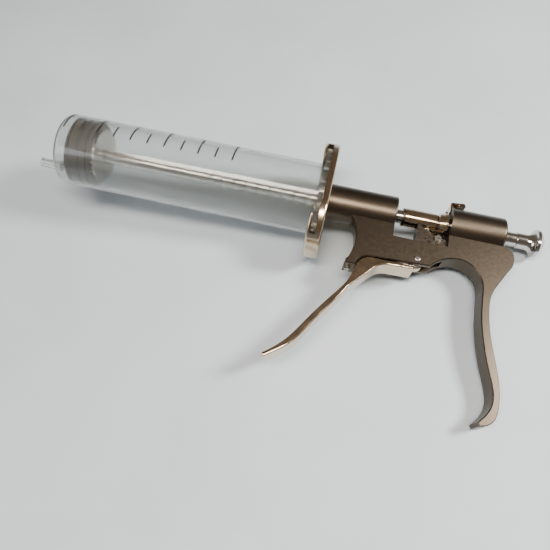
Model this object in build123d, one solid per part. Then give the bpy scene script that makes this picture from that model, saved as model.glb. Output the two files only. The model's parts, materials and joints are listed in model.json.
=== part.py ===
from build123d import *
import math
import os

# Pistol-grip dosing syringe: a 50 ml plastic barrel clipped into a metal ratchet handle.
# Gun frame while modelling, in millimetres: the barrel axis is X with the luer tip at -X and the
# pull knob at +X, Y points away from the handle, Z is square to the flat side of the handle.
# The finished syringe is then laid down on that flat side: see LIE at the end.

# ---- driving dimensions -------------------------------------------------------------------------
BARREL_R = 15.6
BARREL_WALL = 1.1
BARREL_FRONT_X = -113.5
END_WALL = 1.3
SHOULDER_R = 2.6
TIP_Y = -9.5
TIP_END_X = -122.0
TIP_R = 2.0
TIP_TAPER = 0.03
TIP_BORE_R = 0.9

FLANGE_X0 = 1.45
FLANGE_X1 = 3.6
FLANGE_R = 22.4
FLANGE_HALF_W = 15.8

HOLDER_X1 = 6.4
HOLDER_HALF = 26.5
HOLDER_R = 17.0
HOLDER_LIP = 1.2
HOLDER_BACK = 2.7
HOLDER_RIM_FILLET = 0.9
SLOT_GAP = 0.4
SLOT_LIFT = 1.6
SLOT_TOP = 18.2
SLOT_BOTTOM = -22.8
MOUTH_GAP = 0.7
BUSH_R = 5.0
BUSH_END = 15.0

BODY_T = 9.0
TUBE_R = 7.9
FRONT_TUBE_END = 35.4
REAR_TUBE_START = 58.2
REAR_TUBE_END = 81.0
FLAT_TOP = -6.6
WINDOW_FLOOR = -12.5
TUBE_BORE_R = 3.6
FRONT_SEAT_R = 4.2
FRONT_SEAT_X0 = 21.5
FRONT_SEAT_BUSH_END = 29.4
REAR_SEAT_R = 5.4
REAR_SEAT_X0 = 69.0
WIPER_SEAT_R = 4.2
WIPER_SEAT_X0 = 76.0
WIPER_SEAT_X1 = 78.0
SCREW_R = 1.3
SCREW_X = 19.4

ROD_R = 3.0
ROD_FRONT_X = -97.5
ROD_END_X = 92.0
ROD_STEP_X = 88.5
NOSE_R = 2.45
NOSE_X0 = -101.6
RUN_GAP = 0.06
GROOVE_PITCH = 5.41
GROOVE_COUNT = 17
LAST_GROOVE_X = 40.6
GROOVE_DEPTH = 0.65
GROOVE_W = 2.4
KNOB_PIN_X = 90.0
KNOB_PIN_R = 0.8

STOPPER_X0 = -108.4
STOPPER_X1 = -98.0
STOPPER_R = 13.7
SEAL_R = BARREL_R - BARREL_WALL - 0.04
SEAL_XS = (-107.4, -102.5, -99.1)
SOCKET_R = 10.0
SOCKET_X0 = -104.0

PIVOT = (46.5, -20.7)
PIVOT_PIN_R = 1.25
TRIGGER_W = 9.6
SLOT_HALF = 2.6
HUB_HALF = 1.5
HUB_R = 3.3
LINK = (54.0, -9.1)
LINK_PIN_R = 1.1
LINK_PLAY = 0.45
CARRIER_HALF = 3.2
SLEEVE_R = 4.1
SLEEVE_X0 = 39.3
SLEEVE_X1 = 53.0
SLEEVE_LINES = (40.05, 40.7, 41.35, 44.1)
CLIP_R = 3.85
CLIP_X0 = 38.55
PAWL_PIVOT = (49.7, -5.9)
PAWL_HALF = 1.6
PAWL_SLOT_HALF = 1.75
PAWL_PIN_R = 0.5
PAWL_WELL_X = 46.9
PAWL_WELL_R = 1.0
PAWL_WELL_FLOOR = -6.9
PAWL_WIRE = 0.3
COLLAR_R = 5.2
COLLAR_X1 = 57.4

RELEASE_PIVOT = (58.75, 6.3)
RELEASE_HALF = 3.7
RELEASE_PIN_R = 0.45
RELEASE_SHEET = 0.9
TAB_Y = 9.7
TAB_END_X = 64.3
TAB_RISE = 0.7
POST_X = 61.65
POST_R = 1.1
POST_FOOT_Y = 4.6
POST_TOP_Y = 8.6
SPRING_WELL_R = 1.9
SPRING_WELL_Y = 6.3

# How the syringe lies: turned about the barrel axis, then about Y, until it stands on the holder
# plate's rim, the knob and the toe of the handle.
LIE_ROLL = 2.524
LIE_PITCH = 7.131


# ---- helpers --------------------------------------------------------------------------------------
def along_x(radius, x0, x1, y=0.0, z=0.0):
    """A cylinder along X from x0 to x1."""
    rod = Cylinder(radius, abs(x1 - x0), align=(Align.CENTER, Align.CENTER, Align.MIN))
    return Pos(min(x0, x1), y, z) * Rot(0, 90, 0) * rod


def along_z(radius, x, y, half):
    """A cylinder along Z, centred on the middle plane."""
    return Pos(x, y, 0) * Cylinder(radius, 2 * half)


def along_y(radius, x, y0, y1, z=0.0):
    """A cylinder along Y from y0 to y1."""
    rod = Cylinder(radius, y1 - y0, align=(Align.CENTER, Align.CENTER, Align.MIN))
    return Pos(x, y0, z) * Rot(-90, 0, 0) * rod


def block(x0, x1, y0, y1, z0, z1):
    """A box between two corners."""
    return Pos((x0 + x1) / 2, (y0 + y1) / 2, (z0 + z1) / 2) * Box(x1 - x0, y1 - y0, z1 - z0)


def turned(points):
    """A solid of revolution about X from (x, r) points, closed along the axis."""
    first, last = points[0], points[-1]
    outline = Polyline((first[0], 0), *points, (last[0], 0), close=True)
    return revolve(make_face(outline), Axis.X)


def slab(edges, half):
    """A profile in the XY plane, extruded to both sides of the middle plane."""
    return extrude(make_face(edges), amount=half, both=True)


def plate(points, half):
    """A straight-sided profile, extruded to both sides of the middle plane."""
    return slab(Polyline(*points, close=True), half)


def stadium_x(half, radius, x0, x1):
    """A flat stadium, long in Y, from x0 to x1."""
    straight = half - radius
    middle = block(x0, x1, -straight, straight, -radius, radius)
    return middle + along_x(radius, x0, x1, straight) + along_x(radius, x0, x1, -straight)


def flange_x(radius, half_width, x0, x1):
    """A round flange cut flat on both sides, long in Y, from x0 to x1."""
    return along_x(radius, x0, x1) & block(x0, x1, -radius, radius, -half_width, half_width)


def coil(radius, wire, pitch, turns):
    """A round-wire helical spring standing on Z = 0."""
    path = Helix(pitch, pitch * turns, radius)
    section = Plane(origin=path @ 0, z_dir=path % 0) * Circle(wire / 2)
    return sweep(section, path=path)


def ring_x(outer, inner, x0, x1):
    """A plain ring along X."""
    return along_x(outer, x0, x1) - along_x(inner, x0 - 1, x1 + 1)


# ---- barrel ---------------------------------------------------------------------------------------
def make_barrel():
    """Clear barrel: closed front with a stepped shoulder, an off-centre luer tip and a flange."""
    inner_r = BARREL_R - BARREL_WALL
    shell = along_x(BARREL_R, BARREL_FRONT_X, FLANGE_X1)
    front_edge = shell.edges().filter_by(GeomType.CIRCLE).sort_by(Axis.X)[0]
    shell = fillet(front_edge, SHOULDER_R)
    shell += flange_x(FLANGE_R, FLANGE_HALF_W, FLANGE_X0, FLANGE_X1)
    bore = along_x(inner_r, BARREL_FRONT_X + END_WALL, FLANGE_X1 + 1)
    bore_edge = bore.edges().filter_by(GeomType.CIRCLE).sort_by(Axis.X)[0]
    shell -= fillet(bore_edge, 0.5)
    tip_length = BARREL_FRONT_X - TIP_END_X
    root_r = TIP_R + TIP_TAPER * tip_length
    tip = Cone(root_r, TIP_R, tip_length, align=(Align.CENTER, Align.CENTER, Align.MIN))
    shell += Pos(BARREL_FRONT_X, TIP_Y, 0) * Rot(0, -90, 0) * tip
    return shell - along_x(TIP_BORE_R, TIP_END_X - 1, BARREL_FRONT_X + 3, TIP_Y)


def make_stopper():
    """Rubber stopper with three sealing rings and a socket for its core."""
    seal_half = 0.75
    body = along_x(STOPPER_R, STOPPER_X0, STOPPER_X1)
    for x in SEAL_XS:
        ring = turned([(x - seal_half, STOPPER_R - 0.4), (x - seal_half / 2, SEAL_R),
                       (x + seal_half / 2, SEAL_R), (x + seal_half, STOPPER_R - 0.4)])
        body += ring
    return body - along_x(SOCKET_R, SOCKET_X0, STOPPER_X1 + 1)


def make_stopper_core():
    """Stiff disc that fills the stopper's socket, with a threaded well for the rod."""
    core = along_x(SOCKET_R - 0.05, SOCKET_X0 + 0.05, STOPPER_X1)
    return core - along_x(NOSE_R + 0.05, NOSE_X0 - 0.4, STOPPER_X1 + 1)


def make_pusher_disc():
    """Thrust washer between the rod's shoulder and the stopper."""
    return ring_x(11.5, NOSE_R + 0.1, STOPPER_X1, ROD_FRONT_X + 1.4)


def make_rod():
    """Ratchet rod: threaded nose, smooth front, a row of ring grooves, smooth rear."""
    profile = [(NOSE_X0, NOSE_R), (ROD_FRONT_X + 1.4, NOSE_R), (ROD_FRONT_X + 1.4, ROD_R)]
    first = LAST_GROOVE_X - GROOVE_PITCH * (GROOVE_COUNT - 1)
    floor_half = GROOVE_W / 2 - GROOVE_DEPTH
    for i in range(GROOVE_COUNT):
        x = first + GROOVE_PITCH * i
        floor_r = ROD_R - GROOVE_DEPTH
        profile += [(x - GROOVE_W / 2, ROD_R), (x - floor_half, floor_r)]
        profile += [(x + floor_half + GROOVE_DEPTH * 0.9, floor_r), (x + GROOVE_W / 2, ROD_R)]
    profile += [(ROD_STEP_X, ROD_R), (ROD_STEP_X, 2.0), (ROD_END_X, 2.0)]
    return turned(profile) - along_y(KNOB_PIN_R, KNOB_PIN_X, -9, 9)


def make_knob():
    """Mushroom pull knob: shank, flared neck, thin rim and a domed back."""
    edges = [
        Line((87.0, 0), (87.0, 3.35)),
        Line((87.0, 3.35), (90.4, 3.35)),
        ThreePointArc((90.4, 3.35), (93.0, 4.1), (94.3, 6.0)),
        Line((94.3, 6.0), (95.5, 6.15)),
        ThreePointArc((95.5, 6.15), (97.7, 3.5), (98.6, 0.6)),
        Line((98.6, 0.6), (98.6, 0)),
        Line((98.6, 0), (87.0, 0)),
    ]
    knob = revolve(make_face(edges), Axis.X)
    knob -= along_x(ROD_R + 0.02, 80.0, ROD_STEP_X)
    knob -= along_x(2.02, 88.0, ROD_END_X + 0.3)
    return knob - along_y(KNOB_PIN_R, KNOB_PIN_X, -9, 9)


def make_knob_pin():
    """Cross pin that locks the knob on the rod."""
    return along_y(KNOB_PIN_R, KNOB_PIN_X, -3.3, 3.3)


# ---- holder ---------------------------------------------------------------------------------------
def make_holder():
    """Chromed flange clip: a solid back with a capped slot that is open towards +Z."""
    slot_x0 = HOLDER_LIP
    slot_x1 = HOLDER_X1 - HOLDER_BACK
    body = stadium_x(HOLDER_HALF, HOLDER_R, 0, HOLDER_X1)
    rims = body.edges().filter_by(Plane.YZ)
    body = fillet(rims, HOLDER_RIM_FILLET)
    pocket = flange_x(FLANGE_R + SLOT_GAP, FLANGE_HALF_W + SLOT_GAP, slot_x0, slot_x1)
    body -= pocket + Pos(0, SLOT_LIFT, 0) * pocket
    body -= block(slot_x0, slot_x1, SLOT_BOTTOM, SLOT_TOP, 0, HOLDER_R + 1)
    mouth_r = BARREL_R + MOUTH_GAP
    body -= along_x(mouth_r, -1, slot_x0 + 0.1)
    body -= block(-1, slot_x0 + 0.1, -mouth_r, mouth_r, 0, HOLDER_R + 1)
    return body - along_x(BUSH_R, slot_x1 - 1, HOLDER_X1 + 1)


def make_holder_bush():
    """Hollow shouldered screw that clamps the holder to the body and guides the rod."""
    slot_x1 = HOLDER_X1 - HOLDER_BACK
    bush = along_x(7.2, slot_x1 - 1.9, slot_x1) + along_x(BUSH_R, slot_x1, BUSH_END)
    bush -= block(slot_x1 - 2, slot_x1 - 1.1, -8, 8, -0.6, 0.6)
    return bush - along_x(ROD_R + RUN_GAP, -5, 20)


# ---- body -----------------------------------------------------------------------------------------
def body_outline():
    """Side profile of the flat body with its curved grip."""
    return [
        Spline((16.7, FLAT_TOP), (18.9, -10.1), (20.5, -16.5), (20.0, -22.4), (17.6, -28.9)),
        Line((17.6, -28.9), (22.2, -28.9)),
        ThreePointArc((22.2, -28.9), (23.6, -25.6), (27.0, -23.9)),
        Line((27.0, -23.9), (52.0, -22.9)),
        Spline((52.0, -22.9), (55.6, -19.5), (59.5, -17.7), (63.5, -17.1), (67.7, -18.2),
               (71.0, -20.8), (73.0, -24.6), (73.6, -30.0)),
        Spline((73.6, -30.0), (73.8, -40.0), (75.2, -50.0), (77.5, -59.5), (79.7, -67.0),
               (79.9, -73.0), (78.3, -76.8), (75.3, -80.4), tangents=[(0, -1), (-1, -1)]),
        Line((75.3, -80.4), (75.9, -81.9)),
        Line((75.9, -81.9), (78.0, -81.4)),
        Spline((78.0, -81.4), (81.4, -78.4), (82.6, -73.0), (82.2, -65.0), (80.2, -56.0),
               (77.9, -46.5), (76.8, -36.0), (77.3, -30.0), (79.4, -25.0), (83.2, -18.0)),
        ThreePointArc((83.2, -18.0), (85.4, -13.0), (84.3, -8.0)),
        Line((84.3, -8.0), (81.0, FLAT_TOP)),
        Line((81.0, FLAT_TOP), (16.7, FLAT_TOP)),
    ]


def make_body():
    """One-piece body: front tube, flat plate with window, rear tube and grip."""
    flat = slab(body_outline(), BODY_T / 2)
    sides = flat.faces().sort_by(Axis.Z)
    flat = chamfer(sides[0].edges() + sides[-1].edges(), 0.35)
    front = along_x(TUBE_R, HOLDER_X1, FRONT_TUBE_END)
    front = fillet(front.edges().filter_by(GeomType.CIRCLE).sort_by(Axis.X)[-1], 0.6)
    rear = along_x(TUBE_R, REAR_TUBE_START, REAR_TUBE_END)
    rear_rims = rear.edges().filter_by(GeomType.CIRCLE).sort_by(Axis.X)
    rear = fillet(rear_rims[-1], 0.9)
    body = flat + front + rear
    window = block(FRONT_TUBE_END, REAR_TUBE_START, WINDOW_FLOOR, 20, -12, 12)
    floor_edges = window.edges().filter_by(Axis.Z).group_by(Axis.Y)[0]
    body -= fillet(floor_edges, 0.5)
    body -= block(37.0, 57.0, -30, WINDOW_FLOOR + 1, -SLOT_HALF, SLOT_HALF)
    body -= along_x(TUBE_BORE_R, 0, 90)
    body -= along_x(BUSH_R, 0, BUSH_END)
    body -= along_x(FRONT_SEAT_R, FRONT_SEAT_X0, FRONT_TUBE_END + 1)
    body -= along_x(REAR_SEAT_R, REAR_SEAT_X0, 90)
    body -= along_z(PIVOT_PIN_R, *PIVOT, 10)
    x, y = RELEASE_PIVOT
    body -= block(REAR_TUBE_START - 1, x + 1.2, y - 1.3, 12, -RELEASE_HALF - 0.2, RELEASE_HALF + 0.2)
    body -= along_z(RELEASE_PIN_R, x, y, 6.3)
    body -= along_y(POST_R, POST_X, POST_FOOT_Y, 12)
    body -= along_y(SPRING_WELL_R, POST_X, SPRING_WELL_Y, 12)
    return body - along_y(SCREW_R, SCREW_X, -35, -24.5)


def make_window_bush():
    """Steel guide bush in the front tube, ahead of the drive sleeve's run."""
    return ring_x(FRONT_SEAT_R, ROD_R + RUN_GAP, FRONT_SEAT_X0, FRONT_SEAT_BUSH_END)


def make_rear_bush():
    """Guide bush in the rear tube, with a seat for the wiper ring."""
    bush = along_x(REAR_SEAT_R, REAR_SEAT_X0, REAR_TUBE_END)
    bush -= along_x(ROD_R + RUN_GAP, 60, 90)
    return bush - along_x(WIPER_SEAT_R, WIPER_SEAT_X0, WIPER_SEAT_X1)


def make_rod_wiper():
    """Rubber ring that wipes the rod inside the rear bush."""
    return ring_x(WIPER_SEAT_R - 0.05, ROD_R + RUN_GAP, WIPER_SEAT_X0 + 0.1, WIPER_SEAT_X1 - 0.1)


def make_pivot_pin():
    """Domed cross pin that the trigger turns on."""
    pin = along_z(PIVOT_PIN_R, *PIVOT, BODY_T / 2 + 0.45)
    return fillet(pin.edges().filter_by(GeomType.CIRCLE), 0.4)


def make_stop_screw():
    """Grub screw under the front foot that sets the trigger's rest position."""
    screw = along_y(SCREW_R, SCREW_X, -30.4, -25.0)
    screw = chamfer(screw.edges().filter_by(GeomType.CIRCLE).sort_by(Axis.Y)[0], 0.35)
    return screw - block(SCREW_X - 1.4, SCREW_X + 1.4, -31, -29.7, -0.25, 0.25)


# ---- trigger and carrier -----------------------------------------------------------------------
def make_trigger():
    """Chromed trigger: swept blade, thick knee, arm along the body, hub and forked tongue."""
    edges = [
        Line((45.6, -24.5), (28.4, -24.5)),
        Spline((28.4, -24.5), (24.4, -26.1), (22.3, -30.0), (20.9, -35.0),
               tangents=[(-1, 0), (-0.35, -1)]),
        Spline((20.9, -35.0), (17.0, -41.9), (8.0, -55.4), (1.7, -65.4), (-5.9, -72.9),
               tangents=[(-0.35, -1), (-1, -0.8)]),
        ThreePointArc((-5.9, -72.9), (-6.0, -74.1), (-4.8, -74.4)),
        Spline((-4.8, -74.4), (3.7, -67.2), (10.3, -57.0), (19.1, -42.9), (22.9, -37.2),
               tangents=[(1, 0.8), (1, 1)]),
        Spline((22.9, -37.2), (28.0, -31.4), (32.9, -27.0), (39.0, -26.2), (45.6, -26.0),
               tangents=[(1, 1), (1, 0)]),
        Line((45.6, -26.0), (45.6, -24.5)),
    ]
    blade = slab(edges, TRIGGER_W / 2)
    sides = blade.faces().sort_by(Axis.Z)
    blade = fillet(sides[0].edges() + sides[-1].edges(), 0.6)
    length = math.dist(PIVOT, LINK)
    lean = math.degrees(math.atan2(LINK[1] - PIVOT[1], LINK[0] - PIVOT[0]))
    tongue_end = length + 1.2
    tongue = block(0, tongue_end, -2.6, 2.6, -HUB_HALF, HUB_HALF)
    gap = LINK_PIN_R + LINK_PLAY
    tongue -= block(length - 2.1, tongue_end + 1, -gap, gap, -2, 2)
    tongue -= along_z(gap, length - 2.1, 0, 2)
    hub = along_z(HUB_R, *PIVOT, HUB_HALF)
    web = plate([(38.0, -25.4), (45.4, -25.4), (46.5, -17.6), (43.9, -18.4)], HUB_HALF)
    lever = blade + hub + web + Pos(*PIVOT, 0) * Rot(0, 0, lean) * tongue
    return lever - along_z(PIVOT_PIN_R + 0.05, *PIVOT, 5)


def make_drive_sleeve():
    """Sleeve that slides on the rod, with fine turned lines and a slot for the drive pawl."""
    sleeve = ring_x(SLEEVE_R, ROD_R + RUN_GAP, SLEEVE_X0, SLEEVE_X1)
    rims = sleeve.edges().filter_by(GeomType.CIRCLE).group_by(SortBy.RADIUS)[-1]
    sleeve = chamfer(rims, 0.25)
    for x in SLEEVE_LINES:
        sleeve -= ring_x(SLEEVE_R + 1, SLEEVE_R - 0.22, x - 0.13, x + 0.13)
    dimple = Rot(-50, 0, 0) * Pos(42.8, 0, SLEEVE_R - 0.4) * Cylinder(0.55, 1.2)
    return sleeve - dimple - block(45.4, 50.4, -6, -2.0, -PAWL_SLOT_HALF, PAWL_SLOT_HALF)


def make_sleeve_clip():
    """Dark retaining ring in front of the drive sleeve."""
    return ring_x(CLIP_R, ROD_R + RUN_GAP, CLIP_X0, SLEEVE_X0)


def make_carrier():
    """Steel slide block that saddles the sleeve, with a slot for the tongue and the pawl's pocket."""
    profile = [(45.2, -12.4), (57.5, -12.4), (57.9, -9.7), (57.2, -8.9), (50.9, -7.2),
               (49.4, -6.4), (46.0, -3.2), (45.2, -3.2)]
    body = plate(profile, CARRIER_HALF)
    body -= along_x(SLEEVE_R, 40.0, 60.0)
    body -= block(48.0, 60.0, -20, 0, -PAWL_SLOT_HALF, PAWL_SLOT_HALF)
    body -= block(45.7, 48.1, -6.3, 0, -PAWL_SLOT_HALF, PAWL_SLOT_HALF)
    body -= along_y(PAWL_WELL_R, PAWL_WELL_X, PAWL_WELL_FLOOR, -4)
    body -= along_z(LINK_PIN_R, *LINK, 5)
    return body - along_z(PAWL_PIN_R, *PAWL_PIVOT, 5)


def make_link_pin():
    """Pin of the carrier that the trigger's fork pushes."""
    pin = along_z(LINK_PIN_R, *LINK, CARRIER_HALF + 0.6)
    head = Pos(LINK[0], LINK[1], CARRIER_HALF + 0.35) * Cylinder(1.4, 0.7)
    tail = Pos(LINK[0], LINK[1], -CARRIER_HALF - 0.35) * Cylinder(1.4, 0.7)
    return pin + head + tail


def make_pawl_pin():
    """Small pin that the drive pawl hinges on."""
    return along_z(PAWL_PIN_R, *PAWL_PIVOT, CARRIER_HALF)


def make_drive_pawl():
    """Sloping drive pawl: an eye on the pawl pin and a plate that rises to the rod."""
    plate_edges = [(49.5, -4.95), (46.9, -3.2), (46.2, -3.12), (46.6, -3.95), (49.1, -5.7)]
    leaf = plate(plate_edges, PAWL_HALF)
    eye = along_z(0.98, *PAWL_PIVOT, PAWL_HALF)
    return leaf + eye - along_z(PAWL_PIN_R + 0.05, *PAWL_PIVOT, 5)


def make_pawl_spring():
    """Small compression spring that holds the drive pawl up."""
    foot = PAWL_WELL_FLOOR + PAWL_WIRE / 2 + 0.03
    return Pos(PAWL_WELL_X, foot, 0) * Rot(-90, 0, 0) * coil(0.7, PAWL_WIRE, 0.6, 3.1)


# ---- rod lock and release ----------------------------------------------------------------------
def make_lock_collar():
    """Flared ring pawl around the rod with two forward fingers under the sleeve."""
    ring = turned([(53.5, 3.8), (54.0, 4.35), (56.2, COLLAR_R), (COLLAR_X1, COLLAR_R)])
    ring -= ring_x(COLLAR_R + 1, 4.45, 55.3, 55.8)
    fingers = block(50.9, 56.0, -5.0, -4.25, 0.5, 2.1) + block(50.9, 56.0, -5.0, -4.25, -2.1, -0.5)
    lug = block(56.4, COLLAR_X1, 4.6, 6.0, -1.6, 1.6)
    return ring + fingers + lug - along_x(3.7, 50, 60)


def make_lock_spring():
    """Spring between the rear bush bore and the lock collar."""
    return Pos(57.75, 0, 0) * Rot(0, 90, 0) * coil(3.33, 0.45, 1.83, 6)


def make_release_lever():
    """Bent sheet lever: eye on its pin, upright leg and a thumb tab that rises to the rear."""
    x, y = RELEASE_PIVOT
    leg_x = x - 1.0
    low = TAB_Y - RELEASE_SHEET
    side = [(leg_x, y - 1.1), (leg_x, TAB_Y), (TAB_END_X, TAB_Y + TAB_RISE),
            (TAB_END_X + 0.1, low + TAB_RISE), (leg_x + RELEASE_SHEET, low + 0.1),
            (leg_x + RELEASE_SHEET, y - 1.1)]
    lever = plate(side, RELEASE_HALF)
    bends = lever.edges().filter_by(Axis.Z).sort_by_distance((leg_x, TAB_Y, 0))
    lever = fillet(bends[0], 0.8)
    corners = lever.edges().filter_by(lambda edge: abs((edge @ 0).X - (edge @ 1).X) < 0.2)
    corners = corners.filter_by(lambda edge: (edge @ 0).X > TAB_END_X - 0.1 and edge.length < 1.2)
    lever = fillet(corners, 1.2)
    lever += along_z(1.0, x, y, RELEASE_HALF)
    return lever - along_z(RELEASE_PIN_R + 0.05, x, y, 8)


def make_release_pin():
    """Hinge pin of the release lever, in the rear tube's wall."""
    return along_z(RELEASE_PIN_R, *RELEASE_PIVOT, 4.7)


def make_release_post():
    """Post that guides the release spring and stops the tab."""
    post = along_y(POST_R, POST_X, POST_FOOT_Y, POST_TOP_Y)
    return chamfer(post.edges().filter_by(GeomType.CIRCLE).sort_by(Axis.Y)[-1], 0.3)


def make_release_spring():
    """Compression spring around the release post."""
    return Pos(POST_X, SPRING_WELL_Y + 0.25, 0) * Rot(-90, 0, 0) * coil(1.45, 0.4, 0.85, 2.1)


def make_return_spring():
    """Hairpin return spring: one bow round the pivot pin on each side of the trigger hub."""
    wire_r = 0.35
    bow_r = 2.5
    leg_end_x = 38.4
    x, y = PIVOT
    path = Wire([
        Line((leg_end_x, y - bow_r), (x, y - bow_r)).edge(),
        ThreePointArc((x, y - bow_r), (x + bow_r, y), (x, y + bow_r)).edge(),
        Line((x, y + bow_r), (leg_end_x, y + bow_r)).edge(),
    ])
    section = Plane(origin=(leg_end_x, y - bow_r, 0), z_dir=(1, 0, 0)) * Circle(wire_r)
    bow = sweep(section, path=path)
    side = HUB_HALF + 0.55
    return Compound([(Pos(0, 0, z) * bow).solid() for z in (-side, side)])


NODES = {
    "barrel": make_barrel,
    "stopper": make_stopper,
    "stopper_core": make_stopper_core,
    "pusher_disc": make_pusher_disc,
    "ratchet_rod": make_rod,
    "pull_knob": make_knob,
    "knob_pin": make_knob_pin,
    "holder_plate": make_holder,
    "holder_bush": make_holder_bush,
    "body_frame": make_body,
    "window_bush": make_window_bush,
    "rear_bush": make_rear_bush,
    "rod_wiper": make_rod_wiper,
    "trigger_pivot_pin": make_pivot_pin,
    "trigger_return_spring": make_return_spring,
    "stop_screw": make_stop_screw,
    "trigger_lever": make_trigger,
    "carrier_block": make_carrier,
    "drive_sleeve": make_drive_sleeve,
    "sleeve_clip": make_sleeve_clip,
    "link_pin": make_link_pin,
    "pawl_pin": make_pawl_pin,
    "drive_pawl": make_drive_pawl,
    "pawl_spring": make_pawl_spring,
    "lock_collar": make_lock_collar,
    "lock_spring": make_lock_spring,
    "release_lever": make_release_lever,
    "release_pin": make_release_pin,
    "release_post": make_release_post,
    "release_spring": make_release_spring,
}

os.makedirs("parts", exist_ok=True)
gun = {name: make() for name, make in NODES.items()}
turn = Rot(0, LIE_PITCH, 0) * Rot(LIE_ROLL, 0, 0)
laid = {name: turn * shape for name, shape in gun.items()}
box = Compound(children=[Compound(s.solids()) for s in laid.values()]).bounding_box()
LIE = Pos(-(box.min.X + box.max.X) / 2, -(box.min.Y + box.max.Y) / 2, -box.min.Z) * turn
for name, shape in gun.items():
    placed = LIE * shape
    solids = placed.solids()
    export_step(solids[0] if len(solids) == 1 else Compound(solids), f"parts/{name}.step")
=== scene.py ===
import json
import math

import bmesh
import bpy
from mathutils import Matrix, Vector


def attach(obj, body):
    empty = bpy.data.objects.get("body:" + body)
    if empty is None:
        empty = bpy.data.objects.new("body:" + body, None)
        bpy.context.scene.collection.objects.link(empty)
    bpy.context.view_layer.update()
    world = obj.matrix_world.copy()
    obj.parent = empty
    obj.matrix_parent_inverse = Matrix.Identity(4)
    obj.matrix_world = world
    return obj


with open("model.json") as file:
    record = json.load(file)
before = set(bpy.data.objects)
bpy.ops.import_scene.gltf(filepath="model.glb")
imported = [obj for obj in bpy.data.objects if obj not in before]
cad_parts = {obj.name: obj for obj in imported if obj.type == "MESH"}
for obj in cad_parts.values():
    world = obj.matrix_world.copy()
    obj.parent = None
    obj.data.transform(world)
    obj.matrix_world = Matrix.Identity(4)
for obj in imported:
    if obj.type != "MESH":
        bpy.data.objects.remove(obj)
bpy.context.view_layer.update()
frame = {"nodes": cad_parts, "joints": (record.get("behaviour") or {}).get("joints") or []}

MM = 0.001

# ---- the gun frame ------------------------------------------------------------------------------
# The syringe is described in its own frame, in millimetres: X runs along the barrel from the tip
# to the pull knob, Y points away from the grip, Z is square to the flat side of the grip. The
# record's joints say where that frame lies in the row.
TRIGGER_PIVOT = (46.5, -20.7)
BARREL_R = 15.6
SEAL_LOW_R = 13.8
SEAL_TOP_R = 14.3


def joint(name):
    return next(j for j in frame["joints"] if j["name"] == name)


def gun_to_row():
    """Matrix from gun millimetres to row metres, from the rod's and the trigger's joints."""
    x = Vector(joint("rod_slide")["axis"]).normalized()
    z = Vector(joint("trigger_pivot")["axis"]).normalized()
    y = z.cross(x).normalized()
    turn = Matrix((x, y, z)).transposed().to_4x4()
    pivot = Vector(joint("trigger_pivot")["pos_m"])
    here = Vector((*TRIGGER_PIVOT, 0)) * MM
    return Matrix.Translation(pivot) @ turn @ Matrix.Translation(-here) @ Matrix.Scale(MM, 4)


GUN = gun_to_row()


def at(x, y, z):
    """A gun-frame point in row metres."""
    return GUN @ Vector((x, y, z))


# ---- node helpers ---------------------------------------------------------------------------------
def new_material(name):
    material = bpy.data.materials.new(name)
    material.use_nodes = True
    nodes = material.node_tree.nodes
    nodes.clear()
    output = nodes.new("ShaderNodeOutputMaterial")
    shader = nodes.new("ShaderNodeBsdfPrincipled")
    material.node_tree.links.new(shader.outputs[0], output.inputs[0])
    return material, shader


def coords(material, scale=(1, 1, 1)):
    """Object coordinates in metres, scaled."""
    nodes, links = material.node_tree.nodes, material.node_tree.links
    source = nodes.new("ShaderNodeTexCoord")
    mapping = nodes.new("ShaderNodeMapping")
    mapping.inputs["Scale"].default_value = scale
    links.new(source.outputs["Object"], mapping.inputs["Vector"])
    return mapping.outputs["Vector"]


def noise(material, scale, detail=4, vector=None):
    """A noise value of about 0.3 to 0.7."""
    nodes, links = material.node_tree.nodes, material.node_tree.links
    node = nodes.new("ShaderNodeTexNoise")
    node.inputs["Scale"].default_value = scale
    node.inputs["Detail"].default_value = detail
    links.new(vector or coords(material), node.inputs["Vector"])
    return node.outputs["Fac"]


def spread(material, value, low, high, start=0.3, stop=0.7):
    """A 0..1 value remapped to low..high."""
    nodes, links = material.node_tree.nodes, material.node_tree.links
    node = nodes.new("ShaderNodeMapRange")
    node.inputs["From Min"].default_value = start
    node.inputs["From Max"].default_value = stop
    node.inputs["To Min"].default_value = low
    node.inputs["To Max"].default_value = high
    links.new(value, node.inputs["Value"])
    return node.outputs["Result"]


def ramp(material, value, *stops):
    """A colour ramp through (place, colour) stops."""
    nodes, links = material.node_tree.nodes, material.node_tree.links
    node = nodes.new("ShaderNodeValToRGB")
    elements = node.color_ramp.elements
    while len(elements) < len(stops):
        elements.new(0.5)
    for element, (place, colour) in zip(elements, stops):
        element.position = place
        element.color = (*colour, 1)
    links.new(value, node.inputs["Fac"])
    return node.outputs["Color"]


def bump(material, shader, height, distance, strength=1.0):
    """Fine relief; the distance is in metres."""
    nodes, links = material.node_tree.nodes, material.node_tree.links
    node = nodes.new("ShaderNodeBump")
    node.inputs["Distance"].default_value = distance
    node.inputs["Strength"].default_value = strength
    links.new(height, node.inputs["Height"])
    links.new(node.outputs["Normal"], shader.inputs["Normal"])


def link(material, value, shader, socket):
    """Joins a node's output to one of the shader's sockets."""
    material.node_tree.links.new(value, shader.inputs[socket])


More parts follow.
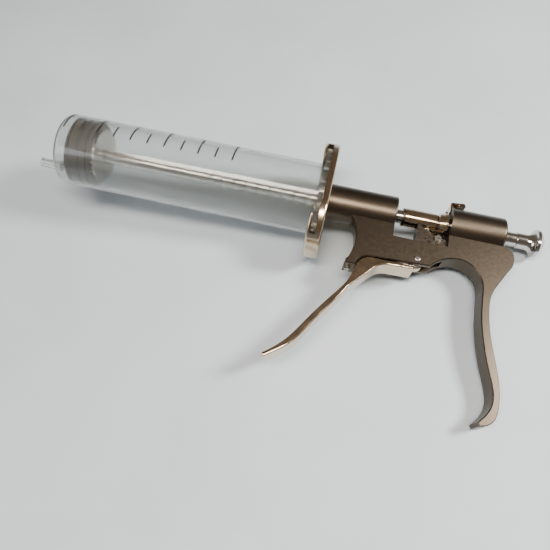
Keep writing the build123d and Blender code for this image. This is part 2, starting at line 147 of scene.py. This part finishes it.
# ---- materials ------------------------------------------------------------------------------------
def from_axis(material):
    """Distance from the barrel axis in millimetres."""
    nodes, links = material.node_tree.nodes, material.node_tree.links
    away = nodes.new("ShaderNodeVectorMath")
    away.operation = "SUBTRACT"
    away.inputs[1].default_value = at(0, 0, 0)
    across = nodes.new("ShaderNodeVectorMath")
    across.operation = "CROSS_PRODUCT"
    across.inputs[1].default_value = (at(1, 0, 0) - at(0, 0, 0)) / MM
    size = nodes.new("ShaderNodeVectorMath")
    size.operation = "LENGTH"
    scaled = nodes.new("ShaderNodeMath")
    scaled.operation = "DIVIDE"
    scaled.inputs[1].default_value = MM
    links.new(coords(material), away.inputs[0])
    links.new(away.outputs["Vector"], across.inputs[0])
    links.new(across.outputs["Vector"], size.inputs[0])
    links.new(size.outputs["Value"], scaled.inputs[0])
    return scaled.outputs["Value"]


def mix(material, amount, first, second):
    """Colour first where amount is 0 and colour second where it is 1."""
    nodes, links = material.node_tree.nodes, material.node_tree.links
    node = nodes.new("ShaderNodeMix")
    node.data_type = "RGBA"
    links.new(amount, node.inputs[0])
    links.new(first, node.inputs[6])
    node.inputs[7].default_value = (*second, 1)
    return node.outputs[2]


def chrome(name, dull, clean):
    """Polished chrome with faint smears and a little haze."""
    material, shader = new_material(name)
    smear = noise(material, 60, 5)
    link(material, ramp(material, smear, (0.3, dull), (0.7, clean)), shader, "Base Color")
    link(material, spread(material, noise(material, 240, 6), 0.09, 0.19), shader, "Roughness")
    shader.inputs["Metallic"].default_value = 1.0
    bump(material, shader, noise(material, 900, 3), 0.00002, 0.35)
    return material


def steel(name, dark, light, rough):
    """Machined steel: fine lines along X and small changes of colour."""
    material, shader = new_material(name)
    lines = noise(material, 1.0, 4, coords(material, (300, 4000, 4000)))
    link(material, ramp(material, lines, (0.3, dark), (0.7, light)), shader, "Base Color")
    link(material, spread(material, lines, rough - 0.07, rough + 0.09), shader, "Roughness")
    shader.inputs["Metallic"].default_value = 1.0
    bump(material, shader, lines, 0.00001, 0.5)
    return material


def black_coat():
    """Satin black coating over metal: fine speckle, soft mottling, warm sheen."""
    material, shader = new_material("satin_black_coat")
    mottle = noise(material, 45, 4)
    link(material, ramp(material, mottle, (0.2, (0.088, 0.071, 0.054)), (0.8, (0.100, 0.081, 0.062))),
         shader, "Base Color")
    link(material, spread(material, noise(material, 900, 3), 0.32, 0.37), shader, "Roughness")
    shader.inputs["Metallic"].default_value = 1.0
    bump(material, shader, noise(material, 5200, 3), 0.00001, 0.2)
    return material


def clear_plastic():
    """Frosted clear polypropylene: mostly see-through, faintly milky and blue-grey."""
    material, shader = new_material("frosted_clear_plastic")
    cloud = noise(material, 30, 2)
    link(material, ramp(material, cloud, (0.3, (0.86, 0.89, 0.88)), (0.7, (0.89, 0.91, 0.90))),
         shader, "Base Color")
    link(material, spread(material, noise(material, 380, 4), 0.10, 0.16), shader, "Roughness")
    shader.inputs["IOR"].default_value = 1.49
    shader.inputs["Transmission Weight"].default_value = 0.97
    bump(material, shader, noise(material, 500, 2), 0.00001, 0.1)
    return material


def rubber():
    """Brown-grey syringe rubber, near black where a seal bears on the barrel."""
    material, shader = new_material("stopper_rubber")
    base = ramp(material, noise(material, 160, 5), (0.3, (0.024, 0.017, 0.011)),
                (0.7, (0.040, 0.029, 0.019)))
    crest = spread(material, from_axis(material), 0.0, 1.0, SEAL_LOW_R, SEAL_TOP_R)
    link(material, mix(material, crest, base, (0.002, 0.002, 0.002)), shader, "Base Color")
    link(material, spread(material, noise(material, 420, 4), 0.40, 0.58), shader, "Roughness")
    bump(material, shader, noise(material, 2200, 3), 0.00003, 0.4)
    return material


def core_plastic():
    """Beige moulded plastic of the stopper's core."""
    material, shader = new_material("stopper_core_plastic")
    link(material, ramp(material, noise(material, 120, 4), (0.3, (0.40, 0.34, 0.27)),
                        (0.7, (0.50, 0.44, 0.36))), shader, "Base Color")
    link(material, spread(material, noise(material, 500, 3), 0.4, 0.55), shader, "Roughness")
    bump(material, shader, noise(material, 1500, 2), 0.00003, 0.3)
    return material


def scale_ink():
    """Slightly broken black screen-print ink."""
    material, shader = new_material("scale_ink")
    link(material, ramp(material, noise(material, 900, 4), (0.3, (0.006, 0.006, 0.007)),
                        (0.7, (0.020, 0.020, 0.022))), shader, "Base Color")
    link(material, spread(material, noise(material, 700, 3), 0.45, 0.65), shader, "Roughness")
    bump(material, shader, noise(material, 3000, 2), 0.00001, 0.4)
    return material


def paint_nodes():
    """Gives every CAD node its finish."""
    shine = chrome("silver_chrome", (0.56, 0.54, 0.51), (0.66, 0.64, 0.61))
    # Painted reflection: the next chrome is the same polished chrome given a gold-brown tint, which
    # stands in for warm surroundings mirrored in the holder, trigger, collar, release lever and
    # sleeve.
    warm = chrome("chrome_painted_warm_reflection", (0.55, 0.44, 0.32), (0.66, 0.54, 0.41))
    bright = steel("machined_steel", (0.44, 0.41, 0.38), (0.58, 0.55, 0.51), 0.24)
    dark = steel("dark_ground_steel", (0.065, 0.053, 0.042), (0.125, 0.104, 0.084), 0.34)
    wire = steel("spring_wire", (0.36, 0.34, 0.32), (0.50, 0.48, 0.45), 0.22)
    finishes = {
        black_coat(): ["body_frame"],
        clear_plastic(): ["barrel"],
        rubber(): ["stopper", "rod_wiper"],
        core_plastic(): ["stopper_core"],
        shine: ["ratchet_rod", "pull_knob", "window_bush", "release_post"],
        warm: ["holder_plate", "trigger_lever", "lock_collar", "release_lever", "drive_sleeve"],
        bright: ["pusher_disc", "knob_pin", "holder_bush", "rear_bush", "trigger_pivot_pin",
                 "stop_screw", "link_pin", "pawl_pin", "drive_pawl", "release_pin"],
        dark: ["carrier_block", "sleeve_clip"],
        wire: ["trigger_return_spring", "pawl_spring", "lock_spring", "release_spring"],
    }
    for material, names in finishes.items():
        for name in names:
            node = frame["nodes"][name]
            for place in node.material_slots:
                place.material = material


# ---- printed scale ----------------------------------------------------------------------------
FIRST_MARK_X = -110.55
MARK_PITCH = 7.41
MARK_COUNT = 11
MARK_W = 0.75
MARK_START = 88.5
LONG_STOP = 40.0
SHORT_STOP = 65.0
MARK_STEPS = 16
INK_RISE = 0.01


def on_barrel(x, degrees, rise=INK_RISE):
    """A point on the barrel's skin; 0 degrees is +Y and 90 is +Z."""
    angle = math.radians(degrees)
    radius = BARREL_R + rise
    return at(x, radius * math.cos(angle), radius * math.sin(angle))


def make_scale(ink):
    """Curved ink strips, long and short in turn, one mesh."""
    mesh = bmesh.new()
    for i in range(MARK_COUNT):
        x = FIRST_MARK_X + MARK_PITCH * i
        stop = LONG_STOP if i % 2 == 0 else SHORT_STOP
        rows = []
        for step in range(MARK_STEPS + 1):
            angle = MARK_START + (stop - MARK_START) * step / MARK_STEPS
            rows.append([mesh.verts.new(on_barrel(x + side * MARK_W / 2, angle)) for side in (-1, 1)])
        for a, b in zip(rows, rows[1:]):
            mesh.faces.new((a[0], b[0], b[1], a[1]))
    data = bpy.data.meshes.new("scale_marks")
    mesh.to_mesh(data)
    mesh.free()
    piece = bpy.data.objects.new("scale_marks", data)
    bpy.context.collection.objects.link(piece)
    data.materials.append(ink)
    for face in data.polygons:
        face.use_smooth = True
    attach(piece, "frame")


# ---- studio -----------------------------------------------------------------------------------------
FLOOR_HALF = 1.2
CAMERA_AT = (7.04, -122.52, 195.16)
CAMERA_LOOKS_AT = (-8.67, -39.36, 0.0)
CAMERA_ROLL = 14.08
CAMERA_FOCAL_MM = 34.036
SENSOR_MM = 36.0
NEAR_CLIP = 0.005

HORIZON = (0.42, 0.44, 0.46)
OVERHEAD = (0.24, 0.185, 0.14)
OVERHEAD_FROM = 0.5
WORLD_STRENGTH = 0.62

# name, place, size, watts, colour; metres in the row's frame
LIGHTS = (
    ("key", (0.50, 0.10, 0.46), (0.14, 0.14), 7.5, (1.0, 0.95, 0.88)),
    ("overhead", (0.02, -0.16, 0.72), (0.55, 0.14), 7.5, (1.0, 0.90, 0.78)),
    ("fill", (-0.45, -0.30, 0.40), (0.35, 0.35), 1.2, (0.90, 0.95, 1.0)),
)
LIGHT_TARGET = (0, 0, 0.01)


def make_floor():
    """A plain pale floor at the row's ground level."""
    material, shader = new_material("pale_floor")
    link(material, ramp(material, noise(material, 14, 3), (0.3, (0.44, 0.51, 0.57)),
                        (0.7, (0.49, 0.56, 0.62))), shader, "Base Color")
    link(material, spread(material, noise(material, 60, 3), 0.5, 0.62), shader, "Roughness")
    mesh = bmesh.new()
    bmesh.ops.create_grid(mesh, x_segments=2, y_segments=2, size=FLOOR_HALF)
    data = bpy.data.meshes.new("floor")
    mesh.to_mesh(data)
    mesh.free()
    floor = bpy.data.objects.new("floor", data)
    bpy.context.collection.objects.link(floor)
    data.materials.append(material)


def make_light(name, place, size, power, colour):
    """A rectangular lamp that faces the syringe."""
    data = bpy.data.lights.new(name, "AREA")
    data.shape = "RECTANGLE"
    data.size, data.size_y = size
    data.energy = power
    data.color = colour
    light = bpy.data.objects.new(name, data)
    bpy.context.collection.objects.link(light)
    light.location = place
    light.rotation_euler = (Vector(LIGHT_TARGET) - Vector(place)).to_track_quat("-Z", "Y").to_euler()


def make_world():
    """Soft room light: pale round the horizon, warm and darker overhead."""
    world = bpy.data.worlds.new("room")
    world.use_nodes = True
    bpy.context.scene.world = world
    nodes, links = world.node_tree.nodes, world.node_tree.links
    background = nodes["Background"]
    source = nodes.new("ShaderNodeTexCoord")
    split = nodes.new("ShaderNodeSeparateXYZ")
    shade = nodes.new("ShaderNodeValToRGB")
    elements = shade.color_ramp.elements
    elements[0].position = 0.0
    elements[0].color = (*HORIZON, 1)
    elements[1].position = OVERHEAD_FROM
    elements[1].color = (*OVERHEAD, 1)
    links.new(source.outputs["Generated"], split.inputs[0])
    links.new(split.outputs["Z"], shade.inputs["Fac"])
    links.new(shade.outputs["Color"], background.inputs["Color"])
    background.inputs["Strength"].default_value = WORLD_STRENGTH


def make_camera():
    """The view from above the grip side, rolled so that the barrel rises to the left."""
    data = bpy.data.cameras.new("camera")
    data.sensor_width = SENSOR_MM
    data.lens = CAMERA_FOCAL_MM
    data.clip_start = NEAR_CLIP
    camera = bpy.data.objects.new("camera", data)
    bpy.context.collection.objects.link(camera)
    eye, target = at(*CAMERA_AT), at(*CAMERA_LOOKS_AT)
    back = (eye - target).normalized()
    gun_up = (at(0, 1, 0) - at(0, 0, 0)).normalized()
    right = gun_up.cross(back).normalized()
    up = back.cross(right)
    roll = Matrix.Rotation(math.radians(CAMERA_ROLL), 3, "Z")
    turn = Matrix((right, up, back)).transposed() @ roll
    camera.matrix_world = Matrix.Translation(eye) @ turn.to_4x4()
    bpy.context.scene.camera = camera


scale_black = scale_ink()
paint_nodes()
make_scale(scale_black)
make_floor()
for lamp in LIGHTS:
    make_light(*lamp)
make_world()
make_camera()
